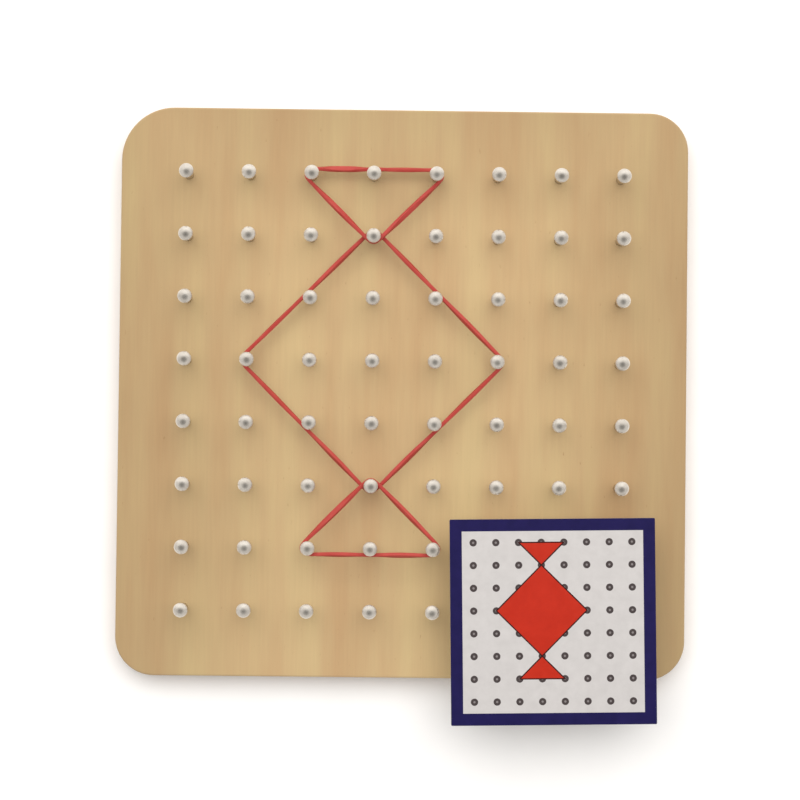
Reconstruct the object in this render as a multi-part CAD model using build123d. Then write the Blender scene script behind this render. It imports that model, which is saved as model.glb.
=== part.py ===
from build123d import *

import math
import os

# Peg board: a wooden board with a square grid of round-headed pins, three rubber bands
# stretched round some of the pins, and a square pattern card laid on the pin heads.
# All sizes are in millimetres. The board lies flat: the origin is the centre of its
# underside, +Z is up, +X runs along a row of pins and +Y points to the first row.

# Board
board_length_x = 230.0
board_length_y = 230.0
board_thickness = 10.0
board_corner_radius = 15.7
board_first_corner_radius = 21.4
board_edge_round = 0.8

# Pins: rows are counted from +Y to -Y and columns from -X to +X
pin_rows = 8
pin_columns = 8
pin_pitch = 25.0
pin_stand_height = 15.0
pin_drive_depth = 7.0
pin_shank_diameter = 3.4
pin_tip_length = 1.5
pin_tip_diameter = 1.4
pin_head_diameter = 5.8
pin_dome_height = 1.4
pin_head_skirt = 1.0
pin_head_underside_round = 0.8

# Rubber bands: closed loops of rectangular section, standing on edge against the shanks. Each
# is given by the pins at its corners, as (row, column). The diamond shares a pin with either
# triangle and they cross beside it, so there the triangles lie over the diamond. From its
# shared pin the top triangle slopes down to the first row. Shares are of the bare shank.
band_wall = 1.5
band_height = 2.2
top_triangle_pins = [(1, 3), (1, 5), (2, 4)]
diamond_pins = [(2, 4), (4, 6), (6, 4), (4, 2)]
bottom_triangle_pins = [(6, 4), (7, 5), (7, 3)]
shank_share_under_diamond = 0.68
shank_share_between_bands = 0.2
top_triangle_drop_share = 0.65

# Pattern card
card_side = 81.6
card_thickness = 0.8
card_centre_x = 60.5
card_centre_y = -90.4
card_turn_degrees = 1.1

# Clearances
hole_clearance = 0.02
band_to_shank_clearance = 0.1
card_to_head_clearance = 0.1

# Places that follow from the sizes above
face_z = board_thickness
pin_top_z = face_z + pin_stand_height
pin_bottom_z = face_z - pin_drive_depth
pin_head_height = pin_dome_height + pin_head_skirt + pin_head_underside_round
bare_shank = pin_stand_height - pin_head_height - 2 * band_height
diamond_z = face_z + bare_shank * shank_share_under_diamond
triangle_z = diamond_z + band_height + bare_shank * shank_share_between_bands
top_triangle_drop = bare_shank * top_triangle_drop_share


def pin_position(row, column):
    """The axis of one pin, seen from above."""
    x = (column - (pin_columns + 1) / 2) * pin_pitch
    y = ((pin_rows + 1) / 2 - row) * pin_pitch
    return x, y


def all_pin_positions():
    """The axes of all the pins, row by row."""
    rows = range(1, pin_rows + 1)
    columns = range(1, pin_columns + 1)
    return [pin_position(row, column) for row in rows for column in columns]


def make_board():
    """A board with round corners, eased edges and one blind hole for each pin."""
    first_corner = (-board_length_x / 2, board_length_y / 2)
    outline = Rectangle(board_length_x, board_length_y)
    corners = outline.vertices().sort_by_distance(first_corner)
    outline = fillet(corners[1:], board_corner_radius)
    corners = outline.vertices().sort_by_distance(first_corner)
    outline = fillet(corners[0], board_first_corner_radius)
    slab = extrude(outline, amount=board_thickness)
    rims = slab.edges().group_by(Axis.Z)
    slab = fillet(rims[0] + rims[-1], board_edge_round)
    hole_radius = pin_shank_diameter / 2 + hole_clearance
    hole = extrude(Circle(hole_radius), amount=pin_drive_depth)
    holes = [Pos(x, y, pin_bottom_z) * hole for x, y in all_pin_positions()]
    return slab - holes


def make_pin():
    """One pin on the Z axis: a blunt taper, a plain shank and a domed head."""
    shank_radius = pin_shank_diameter / 2
    head_radius = pin_head_diameter / 2
    dome_z = pin_top_z - pin_dome_height
    dome_radius = (head_radius**2 + pin_dome_height**2) / (2 * pin_dome_height)
    dome_start = math.degrees(math.asin(1 - pin_dome_height / dome_radius))
    skirt_z = dome_z - pin_head_skirt
    underside_z = pin_top_z - pin_head_height
    corner_x = head_radius - pin_head_underside_round
    taper_z = pin_bottom_z + pin_tip_length
    stem = Polyline(
        (0, pin_bottom_z),
        (pin_tip_diameter / 2, pin_bottom_z),
        (shank_radius, taper_z),
        (shank_radius, underside_z),
        (corner_x, underside_z),
    )
    underside = CenterArc((corner_x, skirt_z), pin_head_underside_round, -90, 90)
    skirt = Line((head_radius, skirt_z), (head_radius, dome_z))
    dome = CenterArc((0, pin_top_z - dome_radius), dome_radius, dome_start, 90 - dome_start)
    axis = Line((0, pin_top_z), (0, pin_bottom_z))
    half_section = make_face([stem, underside, skirt, dome, axis])
    return revolve(Plane.XZ * half_section, Axis.Z)


def make_pin_row(row):
    """The pins of one row, each a solid of its own."""
    pin = make_pin()
    places = [pin_position(row, column) for column in range(1, pin_columns + 1)]
    return Compound(children=[Pos(x, y, 0) * pin for x, y in places])


def make_band(corner_pins, lower_edge_z, drop_over_a_pitch=0.0):
    """A band pulled tight round its corner pins: straight runs, and an arc at each pin.

    Its lower edge is at the given height at its corner nearest -Y, and may drop towards +Y."""
    corners = [pin_position(row, column) for row, column in corner_pins]
    stretched = make_face(Polyline(*corners, close=True))
    inner_reach = pin_shank_diameter / 2 + band_to_shank_clearance
    inside = offset(stretched, amount=inner_reach, kind=Kind.ARC)
    outside = offset(stretched, amount=inner_reach + band_wall, kind=Kind.ARC)
    wall = extrude(outside - inside, amount=pin_top_z)
    slope = math.degrees(math.atan2(drop_over_a_pitch, pin_pitch))
    nearest_y = min(y for _, y in corners)
    from_below = (Align.CENTER, Align.CENTER, Align.MIN)
    level = Box(2 * board_length_x, 2 * board_length_y, band_height, align=from_below)
    return wall & Pos(0, nearest_y, lower_edge_z) * Rot(-slope, 0, 0) * level


def make_pattern_card():
    """A square card lying on the pin heads, over the board's lower right corner."""
    place = Pos(card_centre_x, card_centre_y, pin_top_z + card_to_head_clearance)
    turn = Rot(0, 0, card_turn_degrees)
    return extrude(place * turn * Rectangle(card_side, card_side), amount=card_thickness)


os.makedirs("parts", exist_ok=True)
export_step(make_board(), "parts/board.step")
for row_number in range(1, pin_rows + 1):
    export_step(make_pin_row(row_number), f"parts/pin_row_{row_number}.step")
top_triangle = make_band(top_triangle_pins, triangle_z, top_triangle_drop)
export_step(top_triangle, "parts/top_triangle_band.step")
export_step(make_band(diamond_pins, diamond_z), "parts/diamond_band.step")
export_step(make_band(bottom_triangle_pins, triangle_z), "parts/bottom_triangle_band.step")
export_step(make_pattern_card(), "parts/pattern_card.step")
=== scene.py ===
import math

import bmesh
import bpy
from mathutils import Matrix, Vector


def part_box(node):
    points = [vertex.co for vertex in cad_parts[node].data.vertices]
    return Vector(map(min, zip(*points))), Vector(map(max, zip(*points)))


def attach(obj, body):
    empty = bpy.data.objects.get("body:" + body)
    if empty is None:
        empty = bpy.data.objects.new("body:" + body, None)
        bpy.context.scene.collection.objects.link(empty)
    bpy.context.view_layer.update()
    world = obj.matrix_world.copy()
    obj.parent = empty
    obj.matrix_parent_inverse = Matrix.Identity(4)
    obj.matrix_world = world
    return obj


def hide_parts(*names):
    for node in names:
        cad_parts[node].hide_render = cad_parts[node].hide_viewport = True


# A wooden peg board with a grid of domed steel pins, three red rubber bands stretched round
# some of the pins, and a printed pattern card lying on the pin heads. The frame is in metres:
# the board's underside is at z = 0, +X runs along a row of pins and +Y points to the first row.

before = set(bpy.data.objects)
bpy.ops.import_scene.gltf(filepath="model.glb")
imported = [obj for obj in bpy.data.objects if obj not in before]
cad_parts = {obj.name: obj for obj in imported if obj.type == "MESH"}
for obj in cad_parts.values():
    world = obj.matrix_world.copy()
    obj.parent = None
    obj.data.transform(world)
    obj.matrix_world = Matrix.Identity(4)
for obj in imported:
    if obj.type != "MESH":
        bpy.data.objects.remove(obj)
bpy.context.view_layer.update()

MM = 0.001
FULL_TURN = 2 * math.pi
PIN_ROWS = 8
PIN_COLUMNS = 8

# Sizes and places that come from the frame
board_low, board_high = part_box("board")
row_boxes = {row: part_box(f"pin_row_{row}") for row in range(1, PIN_ROWS + 1)}
first_row_low, first_row_high = row_boxes[1]
face_z = board_high.z
pin_head_diameter = first_row_high.y - first_row_low.y
pin_pitch = (first_row_high.x - first_row_low.x - pin_head_diameter) / (PIN_COLUMNS - 1)
pin_stand_height = first_row_high.z - face_z
pin_drive_depth = face_z - first_row_low.z
card_low, card_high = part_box("pattern_card")
card_centre = (card_low + card_high) / 2

# Board. Painted shade: the veneer is darkened towards its two sides and its +Y end, by this
# linear tone, for the light falling off there; the end is measured from a line a little off the
# middle, as a share of half the board.
BOARD_CORNER_RADIUS = 15.7 * MM
BOARD_FIRST_CORNER_RADIUS = 21.4 * MM
BOARD_CORNER_STEPS = 16
BOARD_EDGE_ROUND = 0.8 * MM
EDGE_STEPS = 5
WALL_NORMAL_LIMIT = 0.1
PLY_COUNT = 7
LEAF_END_SHARE = 0.1
PAINTED_EDGE_SHADE = (0.78, 0.76, 0.73, 1.0)
WELL_CLEARANCE = 0.02 * MM
WELL_LIP = 0.1 * MM
WELL_STEPS = 24

# Pins
PIN_SHANK_DIAMETER = 3.4 * MM
PIN_TIP_DIAMETER = 1.4 * MM
PIN_TIP_LENGTH = 1.5 * MM
PIN_DOME_HEIGHT = 1.4 * MM
PIN_HEAD_SKIRT = 1.0 * MM
PIN_UNDERSIDE_ROUND = 0.8 * MM
PIN_NECK_ROUND = 0.15 * MM
PIN_TURN_STEPS = 28
PIN_NECK_STEPS = 3
PIN_UNDERSIDE_STEPS = 4
PIN_DOME_STEPS = 9
PIN_SHARP_ANGLE = math.radians(40)
PIN_LEAN = math.radians(0.3)

# Bands: the pins at their corners as (row, column), and how far each stretch from one pin to
# the next is twisted at its middle, in degrees. The middle line is drawn in where it bends, but
# the section isn't thinner there, so its inner face sinks about 0.1 mm into the shank.
BAND_WALL = 1.5 * MM
BAND_HEIGHT = 2.2 * MM
BAND_ROUND = 0.35 * MM
BAND_ROUND_STEPS = 3
BAND_DRAWN_IN = 0.1875 * MM
BAND_STEP = 1.6 * MM
BAND_TURN_STEP = math.radians(9)
BAND_CORNERS = {
    "top_triangle_band": [(1, 3), (1, 5), (2, 4)],
    "diamond_band": [(2, 4), (4, 6), (6, 4), (4, 2)],
    "bottom_triangle_band": [(6, 4), (7, 5), (7, 3)],
}
BAND_TWISTS = {
    "top_triangle_band": [[74, 24], [58], [-52]],
    "diamond_band": [[26, -32], [-22, 36], [30, -18], [16, -26]],
    "bottom_triangle_band": [[-38], [34, 22], [64]],
}

# Pattern card and its print: one cell of the printed grid for each pin
CARD_TURN = math.radians(1.1)
CARD_CORNER_RADIUS = 0.5 * MM
CARD_CORNER_STEPS = 4
CARD_EDGE_ROUND = 0.12 * MM
CARD_CELL = 9.0 * MM
CARD_DOT_DIAMETER = 2.9 * MM
CARD_DOT_EYE_DIAMETER = 0.9 * MM
CARD_OUTLINE = 0.5 * MM
card_side = (card_high.x - card_low.x) / (math.cos(CARD_TURN) + math.sin(CARD_TURN))

# How much of each finer octave a material's noise keeps
NOISE_ROUGHNESS = 0.55

# Camera
CAMERA_PLACE = Vector((-8.1, -22.7, 839.2)) * MM
CAMERA_TARGET = Vector((-1.1, -2.8, 10.0)) * MM
CAMERA_ROLL = math.radians(0.65)
CAMERA_LENS = 92.2

# Light: the room is dimmer round a point that is nearly overhead, and brighter towards +Y
ROOM_DIM_TOWARDS = Vector((0, -0.22, 1)).normalized()
ROOM_WALLS = [(0.0, 0.94), (0.7, 0.97), (0.86, 0.55), (1.0, 0.32)]
ROOM_WINDOW = [(0.0, 0.8), (0.35, 1.0), (0.8, 1.35)]
SOFT_BOX_PLACE = Vector((0, 0.42, 1.08))
SOFT_BOX_SIZE = (1.8, 1.3)
SOFT_BOX_WATTS = 14.1
SOFT_BOX_COLOUR = "FFF9F2"
FLOOR_HALF_SIDE = 3.0


def linear(hex_colour):
    """An sRGB hex colour as the linear colour that a node takes."""
    shares = [int(hex_colour[start : start + 2], 16) / 255 for start in (0, 2, 4)]
    lit = [c / 12.92 if c <= 0.04045 else ((c + 0.055) / 1.055) ** 2.4 for c in shares]
    return (*lit, 1.0)


def grey(value):
    """A linear grey."""
    return (value, value, value, 1.0)


def per_metre(across, along, deep):
    """The scale of a pattern whose features have these sizes along x, y and z."""
    return (1 / across, 1 / along, 1 / deep)


def wire(tree, made, inputs):
    """Sets a node's inputs, each to a value, to an output or to a node's first live output."""
    for key, given in inputs.items():
        if isinstance(given, bpy.types.Node):
            given = next(socket for socket in given.outputs if socket.enabled)
        if isinstance(given, bpy.types.NodeSocket):
            tree.links.new(given, made.inputs[key])
        else:
            made.inputs[key].default_value = given


def add_node(tree, kind, inputs=None, stops=(), **settings):
    """Adds one node with its settings, its ramp's stops if it has one, its values and links."""
    made = tree.nodes.new(kind)
    for setting, value in settings.items():
        setattr(made, setting, value)
    if stops:
        marks = made.color_ramp.elements
        marks[0].position, marks[0].color = stops[0]
        marks[1].position, marks[1].color = stops[-1]
        for position, colour in stops[1:-1]:
            marks.new(position).color = colour
    wire(tree, made, inputs or {})
    return made


def start_material(name):
    """A new material, its tree, its surface shader and the place of each point in metres."""
    material = bpy.data.materials.new(name)
    material.use_nodes = True
    tree = material.node_tree
    place = add_node(tree, "ShaderNodeTexCoord").outputs["Object"]
    return material, tree, tree.nodes["Principled BSDF"], place


def make_veneer():
    """Sliced birch under matt lacquer: broad soft figure, fine fibres and a few short pores,
    with painted shade darkening it towards its sides and its +Y end.

    Real pores are about 0.1 mm across and fibres finer still, so both are drawn coarser."""
    material, tree, surface, place = start_material("lacquered_birch_veneer")
    patterns = {}
    for pattern, grain, detail in (
        ("figure", per_metre(18 * MM, 150 * MM, 60 * MM), 4.0),
        ("cloud", per_metre(55 * MM, 70 * MM, 60 * MM), 2.0),
        ("fibre", per_metre(0.9 * MM, 28 * MM, 2 * MM), 5.0),
        ("pores", per_metre(1.1 * MM, 3.6 * MM, 0.5 * MM), 2.0),
    ):
        spread = add_node(tree, "ShaderNodeMapping", {"Vector": place, "Scale": grain})
        patterns[pattern] = add_node(
            tree,
            "ShaderNodeTexNoise",
            {"Vector": spread, "Scale": 1.0, "Detail": detail, "Roughness": NOISE_ROUGHNESS},
        )

    # How near a point lies to the veneer's sides or its +Y end, 1 at the board's side; this
    # guides the painted shade
    half_leaf = (board_high.x - board_low.x) / 2
    axes = add_node(tree, "ShaderNodeSeparateXYZ", {"Vector": place})
    sideways = add_node(tree, "ShaderNodeMath", {0: axes.outputs["X"]}, operation="ABSOLUTE")
    along = {0: axes.outputs["Y"], 1: LEAF_END_SHARE * half_leaf}
    endways = add_node(tree, "ShaderNodeMath", along, operation="SUBTRACT")
    outwards = add_node(tree, "ShaderNodeMath", {0: sideways, 1: endways}, operation="MAXIMUM")
    leaf = add_node(tree, "ShaderNodeMath", {0: outwards, 1: half_leaf}, operation="DIVIDE")

    tone = add_node(
        tree,
        "ShaderNodeValToRGB",
        {"Fac": patterns["figure"]},
        stops=[(0.32, linear("BB9A70")), (0.5, linear("C0A479")), (0.68, linear("C5AD7F"))],
    )
    for share, guide, stops in (
        (0.6, patterns["cloud"], [(0.35, grey(0.92)), (0.65, grey(1.0))]),
        (0.5, patterns["fibre"], [(0.3, grey(0.9)), (0.7, grey(1.0))]),
        # painted shade: darker towards the board's sides and its +Y end, for the light falling
        # off there
        (1.0, leaf, [(0.4, grey(1.0)), (0.98, PAINTED_EDGE_SHADE)]),
    ):
        shade = add_node(tree, "ShaderNodeValToRGB", {"Fac": guide}, stops=stops)
        tone = add_node(
            tree,
            "ShaderNodeMix",
            {"Factor": share, "A": tone, "B": shade},
            data_type="RGBA",
            blend_type="MULTIPLY",
        )
    in_pore = add_node(
        tree,
        "ShaderNodeValToRGB",
        {"Fac": patterns["pores"]},
        stops=[(0.7, grey(0.0)), (0.8, grey(0.5))],
    )
    pored = add_node(
        tree,
        "ShaderNodeMix",
        {"Factor": in_pore, "A": tone, "B": linear("8E6B40")},
        data_type="RGBA",
    )
    bump = add_node(
        tree,
        "ShaderNodeBump",
        {"Strength": 0.25, "Distance": 0.05 * MM, "Height": patterns["fibre"]},
    )
    roughness = add_node(
        tree,
        "ShaderNodeMapRange",
        {"Value": patterns["fibre"], "To Min": 0.46, "To Max": 0.58},
    )
    wire(
        tree,
        surface,
        {"Base Color": pored, "Roughness": roughness, "IOR": 1.5, "Normal": bump},
    )
    return material


def make_ply_edge():
    """Sanded plywood edge: pale long grain and darker end grain by turns, and thin glue lines."""
    material, tree, surface, place = start_material("sanded_plywood_edge")
    height = add_node(tree, "ShaderNodeSeparateXYZ", {"Vector": place}).outputs["Z"]
    ply_height = (board_high.z - board_low.z) / PLY_COUNT
    plies = add_node(
        tree, "ShaderNodeMath", {0: height, 1: ply_height}, operation="DIVIDE"
    )
    within = add_node(tree, "ShaderNodeMath", {0: plies}, operation="FRACT")
    from_middle = add_node(
        tree, "ShaderNodeMath", {0: within, 1: 0.5}, operation="SUBTRACT"
    )
    off_middle = add_node(tree, "ShaderNodeMath", {0: from_middle}, operation="ABSOLUTE")
    odd = add_node(tree, "ShaderNodeMath", {0: plies, 1: 2.0}, operation="MODULO")
    is_end_grain = add_node(
        tree, "ShaderNodeMath", {0: odd, 1: 1.0}, operation="GREATER_THAN"
    )
    grains = {}
    for name, grain, detail, stops in (
        (
            "streaks",
            per_metre(14 * MM, 14 * MM, 0.25 * MM),
            4.0,
            [(0.3, linear("B59368")), (0.7, linear("C7AB82"))],
        ),
        (
            "dots",
            per_metre(0.6 * MM, 0.6 * MM, 0.4 * MM),
            3.0,
            [(0.35, linear("85623D")), (0.7, linear("A8855B"))],
        ),
    ):
        spread = add_node(tree, "ShaderNodeMapping", {"Vector": place, "Scale": grain})
        noise = add_node(
            tree,
            "ShaderNodeTexNoise",
            {"Vector": spread, "Scale": 1.0, "Detail": detail, "Roughness": NOISE_ROUGHNESS},
        )
        tone = add_node(tree, "ShaderNodeValToRGB", {"Fac": noise}, stops=stops)
        grains[name] = (noise, tone)
    layered = add_node(
        tree,
        "ShaderNodeMix",
        {"Factor": is_end_grain, "A": grains["streaks"][1], "B": grains["dots"][1]},
        data_type="RGBA",
    )
    glue = add_node(
        tree,
        "ShaderNodeValToRGB",
        {"Fac": off_middle},
        stops=[(0.44, grey(0.0)), (0.49, grey(0.6))],
    )
    glued = add_node(
        tree,
        "ShaderNodeMix",
        {"Factor": glue, "A": layered, "B": linear("634528")},
        data_type="RGBA",
    )
    bump = add_node(
        tree,
        "ShaderNodeBump",
        {"Strength": 0.4, "Distance": 0.08 * MM, "Height": grains["dots"][0]},
    )
    wire(
        tree,
        surface,
        {"Base Color": glued, "Roughness": 0.68, "IOR": 1.5, "Normal": bump},
    )
    return material


def make_nickel():
    """Nickel-plated steel, tumbled bright: soft dents that bend the reflections, and fine marks.

    Tumbling marks are some hundredths of a millimetre wide, so they are drawn coarser."""
    material, tree, surface, place = start_material("nickel_plated_steel")
    noise = {}
    for name, size, detail in (("patches", 3 * MM, 3.0), ("marks", 0.35 * MM, 4.0)):
        grain = per_metre(size, size, size)
        spread = add_node(tree, "ShaderNodeMapping", {"Vector": place, "Scale": grain})
        noise[name] = add_node(
            tree,
            "ShaderNodeTexNoise",
            {"Vector": spread, "Scale": 1.0, "Detail": detail, "Roughness": NOISE_ROUGHNESS},
        )
    tone = add_node(
        tree,
        "ShaderNodeValToRGB",
        {"Fac": noise["patches"]},
        stops=[(0.3, linear("CDC4B8")), (0.7, linear("E6DED2"))],
    )
    roughness = add_node(
        tree,
        "ShaderNodeMapRange",
        {"Value": noise["marks"], "To Min": 0.22, "To Max": 0.36},
    )
    dents = add_node(
        tree,
        "ShaderNodeBump",
        {"Strength": 0.5, "Distance": 0.14 * MM, "Height": noise["patches"]},
    )
    bump = add_node(
        tree,
        "ShaderNodeBump",
        {"Strength": 0.15, "Distance": 0.04 * MM, "Height": noise["marks"], "Normal": dents},
    )
    wire(
        tree,
        surface,
        {"Base Color": tone, "Metallic": 1.0, "Roughness": roughness, "Normal": bump},
    )
    return material


def make_rubber():
    """Natural rubber, cut from a coloured tube: soft sheen, a dusty bloom and fine cut marks.

    The knife's marks are finer than a tenth of a millimetre, so they are drawn coarser."""
    material, tree, surface, place = start_material("red_natural_rubber")
    noise = {}
    for name, grain, detail in (
        ("bloom", per_metre(6 * MM, 6 * MM, 2 * MM), 4.0),
        ("cut_marks", per_metre(0.4 * MM, 0.4 * MM, 0.15 * MM), 2.0),
    ):
        spread = add_node(tree, "ShaderNodeMapping", {"Vector": place, "Scale": grain})
        noise[name] = add_node(
            tree,
            "ShaderNodeTexNoise",
            {"Vector": spread, "Scale": 1.0, "Detail": detail, "Roughness": NOISE_ROUGHNESS},
        )
    tone = add_node(
        tree,
        "ShaderNodeValToRGB",
        {"Fac": noise["bloom"]},
        stops=[(0.3, linear("A5312A")), (0.75, linear("B4433A"))],
    )
    roughness = add_node(
        tree,
        "ShaderNodeMapRange",
        {"Value": noise["bloom"], "To Min": 0.4, "To Max": 0.6},
    )
    bump = add_node(
        tree,
        "ShaderNodeBump",
        {"Strength": 0.3, "Distance": 0.05 * MM, "Height": noise["cut_marks"]},
    )
    wire(
        tree,
        surface,
        {"Base Color": tone, "Roughness": roughness, "IOR": 1.52, "Normal": bump},
    )
    return material


def make_card_stock():
    """Pressed white card, as its cut edges and its back show it: dull and finely fibrous.

    Paper fibres are some hundredths of a millimetre wide, so they are drawn coarser."""
    material, tree, surface, place = start_material("white_card_stock")
    grain = per_metre(0.5 * MM, 0.5 * MM, 0.1 * MM)
    spread = add_node(tree, "ShaderNodeMapping", {"Vector": place, "Scale": grain})
    fibre = add_node(
        tree,
        "ShaderNodeTexNoise",
        {"Vector": spread, "Scale": 1.0, "Detail": 4.0, "Roughness": NOISE_ROUGHNESS},
    )
    tone = add_node(
        tree,
        "ShaderNodeValToRGB",
        {"Fac": fibre},
        stops=[(0.3, linear("BAB7B2")), (0.7, linear("CECAC6"))],
    )
    bump = add_node(
        tree, "ShaderNodeBump", {"Strength": 0.3, "Distance": 0.03 * MM, "Height": fibre}
    )
    wire(
        tree,
        surface,
        {"Base Color": tone, "Roughness": 0.75, "IOR": 1.5, "Normal": bump},
    )
    return material


def make_card_print():
    """Offset print on coated card: a dotted panel in a border, and three outlined shapes."""
    material, tree, surface, place = start_material("offset_printed_card")

    # The card's own axes, in cells of the printed grid from the card's centre
    centred = add_node(
        tree, "ShaderNodeVectorMath", {0: place, 1: card_centre}, operation="SUBTRACT"
    )
    turned = add_node(
        tree,
        "ShaderNodeMapping",
        {"Vector": centred, "Rotation": (0, 0, -CARD_TURN), "Scale": (1 / CARD_CELL,) * 3},
    )
    axes = add_node(tree, "ShaderNodeSeparateXYZ", {"Vector": turned})

    # Each step has its name, its operation and what it works on: numbers, or steps before it.
    # The printed dots stand at the middles of the cells. The shapes are measured from the
    # line that they share, and each "past" is how far outside a shape a point lies, in cells,
    # below zero inside. The triangles point at the diamond and are one cell high.
    step = {"across": axes.outputs["X"], "up": axes.outputs["Y"]}
    for name, operation, *given in (
        ("away_x", "ABSOLUTE", "across"),
        ("away_y", "ABSOLUTE", "up"),
        ("away", "MAXIMUM", "away_x", "away_y"),
        ("on_panel", "LESS_THAN", "away", PIN_COLUMNS / 2),
        ("in_cell_x", "FRACT", "away_x"),
        ("in_cell_y", "FRACT", "away_y"),
        ("dot_x", "SUBTRACT", "in_cell_x", 0.5),
        ("dot_y", "SUBTRACT", "in_cell_y", 0.5),
        ("off_line", "ADD", "across", 0.5),
        ("sideways", "ABSOLUTE", "off_line"),
        ("off_diamond", "SUBTRACT", "up", 0.5),
        ("diamond_up", "ABSOLUTE", "off_diamond"),
        ("diamond_sum", "ADD", "sideways", "diamond_up"),
        ("diamond_over", "SUBTRACT", "diamond_sum", 2.0),
        ("past_diamond", "MULTIPLY", "diamond_over", math.sqrt(0.5)),
        ("upper_rise", "SUBTRACT", "up", 2.5),
        ("upper_over", "SUBTRACT", "sideways", "upper_rise"),
        ("upper_flank", "MULTIPLY", "upper_over", math.sqrt(0.5)),
        ("upper_top", "SUBTRACT", "upper_rise", 1.0),
        ("past_upper", "MAXIMUM", "upper_flank", "upper_top"),
        ("lower_rise", "SUBTRACT", -1.5, "up"),
        ("lower_over", "SUBTRACT", "sideways", "lower_rise"),
        ("lower_flank", "MULTIPLY", "lower_over", math.sqrt(0.5)),
        ("lower_top", "SUBTRACT", "lower_rise", 1.0),
        ("past_lower", "MAXIMUM", "lower_flank", "lower_top"),
        ("past_triangles", "MINIMUM", "past_upper", "past_lower"),
        ("past_shapes", "MINIMUM", "past_diamond", "past_triangles"),
        ("on_shape", "LESS_THAN", "past_shapes", 0.0),
        ("off_outline", "ABSOLUTE", "past_shapes"),
        ("on_outline", "LESS_THAN", "off_outline", CARD_OUTLINE / 2 / CARD_CELL),
    ):
        inputs = {index: step.get(value, value) for index, value in enumerate(given)}
        step[name] = add_node(tree, "ShaderNodeMath", inputs, operation=operation)
    in_cell = add_node(tree, "ShaderNodeCombineXYZ", {"X": step["dot_x"], "Y": step["dot_y"]})
    from_dot = add_node(tree, "ShaderNodeVectorMath", {0: in_cell}, operation="LENGTH")
    for name, diameter in (("on_dot", CARD_DOT_DIAMETER), ("on_eye", CARD_DOT_EYE_DIAMETER)):
        reach = {0: from_dot, 1: diameter / 2 / CARD_CELL}
        step[name] = add_node(tree, "ShaderNodeMath", reach, operation="LESS_THAN")

    grain = per_metre(4 * MM, 4 * MM, 4 * MM)
    spread = add_node(tree, "ShaderNodeMapping", {"Vector": place, "Scale": grain})
    mottle = add_node(
        tree,
        "ShaderNodeTexNoise",
        {"Vector": spread, "Scale": 1.0, "Detail": 5.0, "Roughness": NOISE_ROUGHNESS},
    )
    ink = {}
    for name, darkest, lightest in (
        ("white", "BBB8B7", "C2BFBE"),
        ("navy", "0C0440", "120848"),
        ("red", "AC1E02", "B52306"),
    ):
        stops = [(0.3, linear(darkest)), (0.7, linear(lightest))]
        ink[name] = add_node(tree, "ShaderNodeValToRGB", {"Fac": mottle}, stops=stops)
    printed = ink["white"]
    for mask, colour in (
        ("on_dot", linear("403838")),
        ("on_eye", linear("7E7878")),
        ("on_shape", ink["red"]),
        ("on_outline", linear("2C0402")),
    ):
        layers = {"Factor": step[mask], "A": printed, "B": colour}
        printed = add_node(tree, "ShaderNodeMix", layers, data_type="RGBA")
    bordered = add_node(
        tree,
        "ShaderNodeMix",
        {"Factor": step["on_panel"], "A": ink["navy"], "B": printed},
        data_type="RGBA",
    )
    roughness = add_node(
        tree,
        "ShaderNodeMapRange",
        {"Value": mottle, "To Min": 0.26, "To Max": 0.34},
    )
    wire(tree, surface, {"Base Color": bordered, "Roughness": roughness, "IOR": 1.5})
    return material


def make_floor_paint():
    """The matt white paint of a studio table, faintly uneven from its roller."""
    material, tree, surface, place = start_material("matt_white_paint")
    grain = per_metre(40 * MM, 40 * MM, 40 * MM)
    spread = add_node(tree, "ShaderNodeMapping", {"Vector": place, "Scale": grain})
    roller = add_node(
        tree,
        "ShaderNodeTexNoise",
        {"Vector": spread, "Scale": 1.0, "Detail": 4.0, "Roughness": NOISE_ROUGHNESS},
    )
    tone = add_node(
        tree, "ShaderNodeValToRGB", {"Fac": roller}, stops=[(0.3, grey(0.9)), (0.7, grey(0.93))]
    )
    wire(tree, surface, {"Base Color": tone, "Roughness": 0.85})
    return material


def new_object(name, mesh):
    """Links a mesh into the scene under a name."""
    made = bpy.data.objects.new(name, mesh)
    bpy.context.scene.collection.objects.link(made)
    return made


def add_ring(shape, points, z):
    """One ring of vertices of a mesh in the making."""
    return [shape.verts.new((x, y, z)) for x, y in points]


def join_rings(shape, lower, upper, smooth=True):
    """The band of faces between two rings of as many vertices, facing out."""
    for index in range(len(lower)):
        after = (index + 1) % len(lower)
        face = shape.faces.new((lower[index], lower[after], upper[after], upper[index]))
        face.smooth = smooth


def circle(x, y, radius, steps):
    """Points round a circle, anticlockwise from above."""
    turns = [FULL_TURN * step / steps for step in range(steps)]
    return [(x + radius * math.cos(a), y + radius * math.sin(a)) for a in turns]


def rounded_outline(centre, sides, radii, inset, corner_steps):
    """A rectangle with its own radius at each corner, anticlockwise from +X+Y, moved in."""
    points = []
    for quarter, radius in enumerate(radii):
        sign_x = 1 if quarter in (0, 3) else -1
        sign_y = 1 if quarter in (0, 1) else -1
        x = centre.x + sign_x * (sides[0] / 2 - radius)
        y = centre.y + sign_y * (sides[1] / 2 - radius)
        for step in range(corner_steps + 1):
            angle = (quarter + step / corner_steps) * math.pi / 2
            reach = radius - inset
            points.append((x + reach * math.cos(angle), y + reach * math.sin(angle)))
    return points


def ease(edge_round, steps):
    """How far in and how far down each step of a rounded edge lies, from the face outwards."""
    turns = [math.pi / 2 * step / steps for step in range(steps + 1)]
    return [
        (edge_round * (1 - math.sin(turn)), edge_round * (1 - math.cos(turn)))
        for turn in turns
    ]


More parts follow.
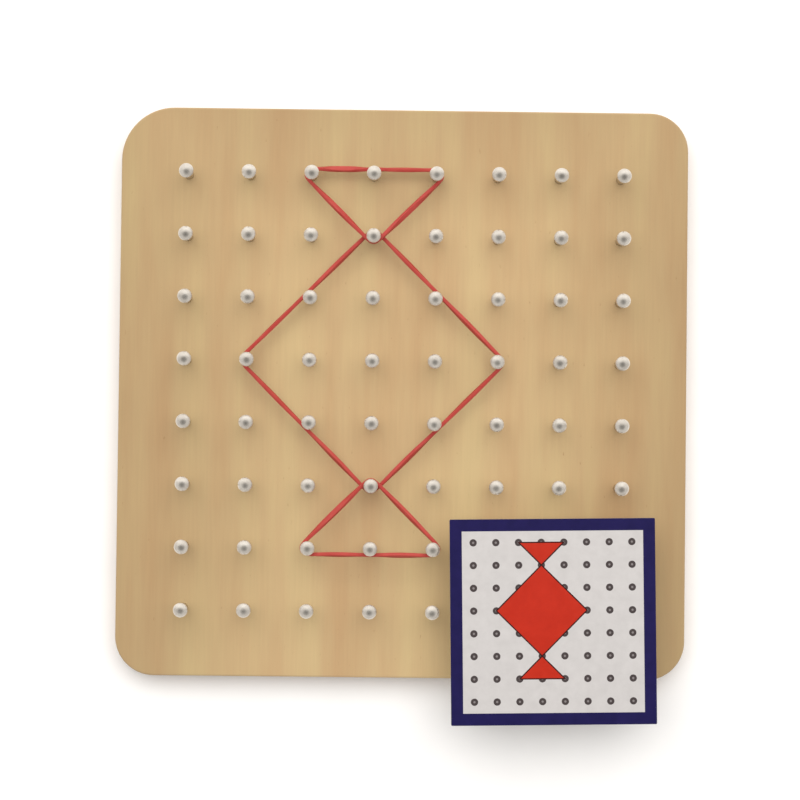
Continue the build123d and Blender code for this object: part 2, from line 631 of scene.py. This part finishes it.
def make_slab(low_z, high_z, edge_round, outline_at, wells=()):
    """A flat board or card with eased edges, and blind wells in its upper face."""
    shape = bmesh.new()
    steps = ease(edge_round, EDGE_STEPS)
    rings = [add_ring(shape, outline_at(inset), low_z + drop) for inset, drop in steps]
    rings += [
        add_ring(shape, outline_at(inset), high_z - drop) for inset, drop in steps[::-1]
    ]
    for lower, upper in zip(rings, rings[1:]):
        join_rings(shape, lower, upper)
    shape.faces.new(rings[0][::-1])
    rims = [rings[-1]]
    for x, y, profile in wells:
        levels = [
            add_ring(shape, circle(x, y, radius, WELL_STEPS), high_z - depth)
            for radius, depth in profile
        ]
        for upper, lower in zip(levels, levels[1:]):
            join_rings(shape, upper, lower)
        shape.faces.new(levels[-1])
        rims.append(levels[0])
    edges = [
        shape.edges.get((rim[index - 1], rim[index]))
        for rim in rims
        for index in range(len(rim))
    ]
    bmesh.ops.triangle_fill(shape, edges=edges, use_beauty=True, normal=(0, 0, 1))
    return shape


def finish_mesh(shape, name, materials, slot_of=None):
    """Turns a bmesh into a named object, and gives each face its material."""
    shape.normal_update()
    if slot_of:
        for face in shape.faces:
            face.material_index = slot_of(face)
    mesh = bpy.data.meshes.new(name)
    shape.to_mesh(mesh)
    shape.free()
    for material in materials:
        mesh.materials.append(material)
    return new_object(name, mesh)


def make_board():
    """The plywood board: eased edges, round corners and a well for each pin."""
    centre = (board_low + board_high) / 2
    sides = (board_high.x - board_low.x, board_high.y - board_low.y)
    radii = [BOARD_CORNER_RADIUS] * 4
    radii[1] = BOARD_FIRST_CORNER_RADIUS

    def outline_at(inset):
        return rounded_outline(centre, sides, radii, inset, BOARD_CORNER_STEPS)

    radius = PIN_SHANK_DIAMETER / 2 + WELL_CLEARANCE
    crushed_lip = [
        (radius + WELL_LIP, 0.0),
        (radius + WELL_LIP / 3, WELL_LIP / 3),
        (radius, WELL_LIP),
        (radius, pin_drive_depth),
    ]
    wells = [(*pin_place(row, column), crushed_lip) for row, column in all_pins()]
    shape = make_slab(board_low.z, board_high.z, BOARD_EDGE_ROUND, outline_at, wells)

    def slot_of(face):
        height = face.calc_center_median().z
        on_wall = BOARD_EDGE_ROUND < height < board_high.z - BOARD_EDGE_ROUND
        return 1 if on_wall and abs(face.normal.z) < WALL_NORMAL_LIMIT else 0

    return finish_mesh(shape, "birch_board", [make_veneer(), make_ply_edge()], slot_of)


def pin_place(row, column):
    """The axis of one pin, seen from above."""
    low, high = row_boxes[row]
    x = low.x + pin_head_diameter / 2 + (column - 1) * pin_pitch
    return x, (low.y + high.y) / 2


def all_pins():
    """Every pin as (row, column)."""
    return [
        (row, column)
        for row in range(1, PIN_ROWS + 1)
        for column in range(1, PIN_COLUMNS + 1)
    ]


def arc(centre_x, centre_z, radius, start, end, steps):
    """Points of an arc in a pin's half section, from one angle in degrees to another."""
    turns = [math.radians(start + (end - start) * step / steps) for step in range(steps + 1)]
    return [
        (centre_x + radius * math.cos(a), centre_z + radius * math.sin(a)) for a in turns
    ]


def pin_profile():
    """Half the section of a pin from its tip to the top of its dome; z is 0 at the face."""
    shank = PIN_SHANK_DIAMETER / 2
    head = pin_head_diameter / 2
    dome_z = pin_stand_height - PIN_DOME_HEIGHT
    skirt_z = dome_z - PIN_HEAD_SKIRT
    under_z = skirt_z - PIN_UNDERSIDE_ROUND
    dome = (head**2 + PIN_DOME_HEIGHT**2) / (2 * PIN_DOME_HEIGHT)
    dome_start = math.degrees(math.asin(1 - PIN_DOME_HEIGHT / dome))
    neck_x = shank + PIN_NECK_ROUND
    neck_z = under_z - PIN_NECK_ROUND
    neck = arc(neck_x, neck_z, PIN_NECK_ROUND, 180, 90, PIN_NECK_STEPS)
    underside_x = head - PIN_UNDERSIDE_ROUND
    underside = arc(underside_x, skirt_z, PIN_UNDERSIDE_ROUND, -90, 0, PIN_UNDERSIDE_STEPS)
    top = arc(0, pin_stand_height - dome, dome, dome_start, 90, PIN_DOME_STEPS)
    return [
        (0, -pin_drive_depth),
        (PIN_TIP_DIAMETER / 2, -pin_drive_depth),
        (shank, PIN_TIP_LENGTH - pin_drive_depth),
        (shank, 0),
        *neck,
        *underside,
        *top[:-1],
        (0, pin_stand_height),
    ]


def make_pin():
    """One pin turned round the Z axis, with both its poles closed."""
    shape = bmesh.new()
    profile = pin_profile()
    rings = [
        add_ring(shape, circle(0, 0, radius, PIN_TURN_STEPS), z)
        for radius, z in profile[1:-1]
    ]
    for lower, upper in zip(rings, rings[1:]):
        join_rings(shape, lower, upper)
    for ring, z in ((rings[0][::-1], profile[0][1]), (rings[-1], profile[-1][1])):
        pole = shape.verts.new((0, 0, z))
        for index in range(len(ring)):
            shape.faces.new((ring[index - 1], ring[index], pole)).smooth = True
    pin = finish_mesh(shape, "pin_master", [])
    pin.data.set_sharp_from_angle(angle=PIN_SHARP_ANGLE)
    return pin


def start_tree(name, inputs):
    """A Geometry Nodes tree with named inputs, which end in one Geometry output."""
    tree = bpy.data.node_groups.new(name, "GeometryNodeTree")
    tree.interface.new_socket("Geometry", in_out="INPUT", socket_type="NodeSocketGeometry")
    for label, kind in inputs.items():
        tree.interface.new_socket(label, in_out="INPUT", socket_type=kind)
    tree.interface.new_socket(
        "Geometry", in_out="OUTPUT", socket_type="NodeSocketGeometry"
    )
    return tree, add_node(tree, "NodeGroupInput").outputs


def end_tree(tree, geometry, finish):
    """Makes what the tree grew real, gives it its material and hands it out."""
    real = add_node(tree, "GeometryNodeRealizeInstances", {"Geometry": geometry})
    finished = add_node(
        tree, "GeometryNodeSetMaterial", {"Geometry": real, "Material": finish}
    )
    add_node(tree, "NodeGroupOutput", {"Geometry": finished})


def pin_row_tree():
    """Stands copies of one pin in a line, each with a slight lean of its own."""
    tree, given = start_tree(
        "pin_row",
        {
            "Pin": "NodeSocketObject",
            "Count": "NodeSocketInt",
            "Pitch": "NodeSocketFloat",
            "First Place": "NodeSocketVector",
            "Lean": "NodeSocketFloat",
            "Seed": "NodeSocketInt",
            "Finish": "NodeSocketMaterial",
        },
    )
    along_row = add_node(tree, "ShaderNodeCombineXYZ", {"X": given["Pitch"]})
    places = add_node(
        tree,
        "GeometryNodeMeshLine",
        {
            "Count": given["Count"],
            "Start Location": given["First Place"],
            "Offset": along_row,
        },
    )
    back = add_node(
        tree, "ShaderNodeMath", {0: given["Lean"], 1: -1.0}, operation="MULTIPLY"
    )
    least = add_node(tree, "ShaderNodeCombineXYZ", {"X": back, "Y": back})
    most = add_node(
        tree,
        "ShaderNodeCombineXYZ",
        {"X": given["Lean"], "Y": given["Lean"], "Z": FULL_TURN},
    )
    leaning = add_node(
        tree,
        "FunctionNodeRandomValue",
        {0: least, 1: most, "Seed": given["Seed"]},
        data_type="FLOAT_VECTOR",
    )
    pin = add_node(tree, "GeometryNodeObjectInfo", {"Object": given["Pin"]})
    standing = add_node(
        tree,
        "GeometryNodeInstanceOnPoints",
        {"Points": places, "Instance": pin.outputs["Geometry"], "Rotation": leaning},
    )
    end_tree(tree, standing, given["Finish"])
    return tree


def band_tree():
    """Draws a rubber band's section along its route."""
    tree, given = start_tree(
        "rubber_band",
        {
            "Wall": "NodeSocketFloat",
            "Height": "NodeSocketFloat",
            "Edge Round": "NodeSocketFloat",
            "Finish": "NodeSocketMaterial",
        },
    )
    cut = add_node(
        tree,
        "GeometryNodeCurvePrimitiveQuadrilateral",
        {"Width": given["Wall"], "Height": given["Height"]},
    )
    section = add_node(
        tree,
        "GeometryNodeFilletCurve",
        {"Curve": cut, "Count": BAND_ROUND_STEPS, "Radius": given["Edge Round"]},
        mode="POLY",
    )
    band = add_node(
        tree,
        "GeometryNodeCurveToMesh",
        {"Curve": given["Geometry"], "Profile Curve": section},
    )
    smooth = add_node(tree, "GeometryNodeSetShadeSmooth", {"Geometry": band})
    end_tree(tree, smooth, given["Finish"])
    return tree


def grow(name, source, tree, values):
    """Runs a tree on an object, and returns what it grew as a plain mesh object."""
    modifier = source.modifiers.new(tree.name, "NODES")
    modifier.node_group = tree
    for socket in tree.interface.items_tree:
        if socket.name in values:
            modifier[socket.identifier] = values[socket.name]
    grown = source.evaluated_get(bpy.context.evaluated_depsgraph_get())
    mesh = bpy.data.meshes.new_from_object(grown)
    bpy.data.objects.remove(source)
    mesh.name = name
    return new_object(name, mesh)


def make_pin_rows():
    """The eight rows of pins, grown from one pin."""
    pin = make_pin()
    tree = pin_row_tree()
    nickel = make_nickel()
    rows = []
    for row in range(1, PIN_ROWS + 1):
        name = f"nickel_pins_{row}"
        host = new_object(f"{name}_host", bpy.data.meshes.new(f"{name}_host"))
        values = {
            "Pin": pin,
            "Count": PIN_COLUMNS,
            "Pitch": pin_pitch,
            "First Place": (*pin_place(row, 1), face_z),
            "Lean": PIN_LEAN,
            "Seed": row,
            "Finish": nickel,
        }
        rows.append(grow(name, host, tree, values))
    bpy.data.objects.remove(pin)
    return rows


def band_points(corners, reach, twists):
    """The middle line of a band clockwise round its corner pins: x, y and twist."""
    points = []
    bent_reach = reach - BAND_DRAWN_IN
    for index, corner in enumerate(corners):
        before, after = corners[index - 1], corners[(index + 1) % len(corners)]
        arriving = (corner - before).normalized()
        leaving = (after - corner).normalized()
        first = math.atan2(arriving.x, -arriving.y)
        turn = arriving.angle(leaving)
        steps = math.ceil(turn / BAND_TURN_STEP)
        for step in range(steps + 1):
            angle = first - turn * step / steps
            out = Vector((math.cos(angle), math.sin(angle)))
            points.append((*(corner + bent_reach * out), 0.0))
        start = corner + reach * out
        run = (after - corner).length
        stretches = twists[index]
        count = math.ceil(run / BAND_STEP)
        for step in range(1, count):
            share = step / count
            stretch = stretches[int(share * len(stretches))]
            twist = stretch * math.sin(math.pi * share * len(stretches)) ** 2
            points.append((*(start + leaving * run * share), math.radians(twist)))
    return points


def make_band(name, tree, rubber):
    """One rubber band, a closed loop standing on edge against the pins."""
    low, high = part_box(name)
    corners = [Vector(pin_place(*pin)) for pin in BAND_CORNERS[name]]
    reach = high.x - max(corner.x for corner in corners) - BAND_WALL / 2
    drop = (high.z - low.z - BAND_HEIGHT) / (high.y - low.y)
    middle = (low + high) / 2
    points = band_points(corners, reach, BAND_TWISTS[name])
    route = bpy.data.curves.new(name, "CURVE")
    route.dimensions = "3D"
    route.twist_mode = "Z_UP"
    spline = route.splines.new("POLY")
    spline.points.add(len(points) - 1)
    spline.use_cyclic_u = True
    for point, (x, y, twist) in zip(spline.points, points):
        point.co = (x, y, middle.z - drop * (y - middle.y), 1.0)
        point.tilt = twist
    values = {
        "Wall": BAND_WALL,
        "Height": BAND_HEIGHT,
        "Edge Round": BAND_ROUND,
        "Finish": rubber,
    }
    return grow(f"rubber_{name}", new_object(f"{name}_route", route), tree, values)


def make_card():
    """The pattern card: print on its upper face, plain stock on its edges and its back."""
    sides = (card_side, card_side)
    radii = [CARD_CORNER_RADIUS] * 4
    origin = Vector((0, 0, 0))

    def outline_at(inset):
        return rounded_outline(origin, sides, radii, inset, CARD_CORNER_STEPS)

    half = (card_high.z - card_low.z) / 2
    shape = make_slab(-half, half, CARD_EDGE_ROUND, outline_at)
    place = Matrix.Translation(card_centre) @ Matrix.Rotation(CARD_TURN, 4, "Z")
    bmesh.ops.transform(shape, matrix=place, verts=shape.verts)
    materials = [make_card_print(), make_card_stock()]

    def slot_of(face):
        return 0 if face.normal.z > WALL_NORMAL_LIMIT else 1

    return finish_mesh(shape, "printed_card", materials, slot_of)


def add_camera():
    """Looks down on the board from near above its middle, turned a little."""
    lens = bpy.data.cameras.new("camera")
    lens.lens = CAMERA_LENS
    camera = bpy.data.objects.new("camera", lens)
    look = CAMERA_TARGET - CAMERA_PLACE
    upright = Vector((-math.sin(CAMERA_ROLL), math.cos(CAMERA_ROLL), 0))
    back = -look.normalized()
    right = upright.cross(back).normalized()
    turned = Matrix((right, back.cross(right), back)).transposed().to_4x4()
    camera.matrix_world = Matrix.Translation(CAMERA_PLACE) @ turned
    bpy.context.scene.collection.objects.link(camera)
    bpy.context.scene.camera = camera


def add_soft_box():
    """A large soft box that faces the middle of the board and isn't mirrored in the pins."""
    lamp = bpy.data.lights.new("soft_box", "AREA")
    lamp.shape = "RECTANGLE"
    lamp.size, lamp.size_y = SOFT_BOX_SIZE
    lamp.energy = SOFT_BOX_WATTS
    lamp.color = linear(SOFT_BOX_COLOUR)[:3]
    holder = bpy.data.objects.new("soft_box", lamp)
    holder.location = SOFT_BOX_PLACE
    holder.visible_glossy = False
    facing = Vector((0, 0, face_z)) - SOFT_BOX_PLACE
    holder.rotation_euler = facing.to_track_quat("-Z", "Y").to_euler()
    bpy.context.scene.collection.objects.link(holder)


def add_studio():
    """A white table in a pale room, and one large soft box."""
    shape = bmesh.new()
    bmesh.ops.create_grid(shape, x_segments=1, y_segments=1, size=FLOOR_HALF_SIDE)
    floor = finish_mesh(shape, "studio_table", [make_floor_paint()])
    world = bpy.data.worlds.new("studio_room")
    bpy.context.scene.world = world
    world.use_nodes = True
    tree = world.node_tree
    direction = add_node(tree, "ShaderNodeTexCoord").outputs["Generated"]
    axes = add_node(tree, "ShaderNodeSeparateXYZ", {"Vector": direction})
    upward = add_node(
        tree,
        "ShaderNodeVectorMath",
        {0: direction, 1: ROOM_DIM_TOWARDS},
        operation="DOT_PRODUCT",
    )
    lit = {}
    for name, guide, shades in (
        ("walls", upward, ROOM_WALLS),
        ("window", axes.outputs["Y"], ROOM_WINDOW),
    ):
        stops = [(position, grey(shade)) for position, shade in shades]
        lit[name] = add_node(tree, "ShaderNodeValToRGB", {"Fac": guide}, stops=stops)
    room = add_node(
        tree,
        "ShaderNodeMix",
        {"Factor": 1.0, "A": lit["walls"], "B": lit["window"]},
        data_type="RGBA",
        blend_type="MULTIPLY",
    )
    wire(tree, tree.nodes["Background"], {"Color": room})
    add_soft_box()
    bpy.context.scene.view_settings.view_transform = "Standard"


add_camera()
add_studio()
board = make_board()
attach(board, "board")
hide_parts("board")
for number, pins in enumerate(make_pin_rows(), start=1):
    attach(pins, "board")
    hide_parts(f"pin_row_{number}")
rubber_material = make_rubber()
section_tree = band_tree()
for band_name in BAND_CORNERS:
    band = make_band(band_name, section_tree, rubber_material)
    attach(band, band_name)
    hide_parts(band_name)
card = make_card()
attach(card, "pattern_card")
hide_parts("pattern_card")
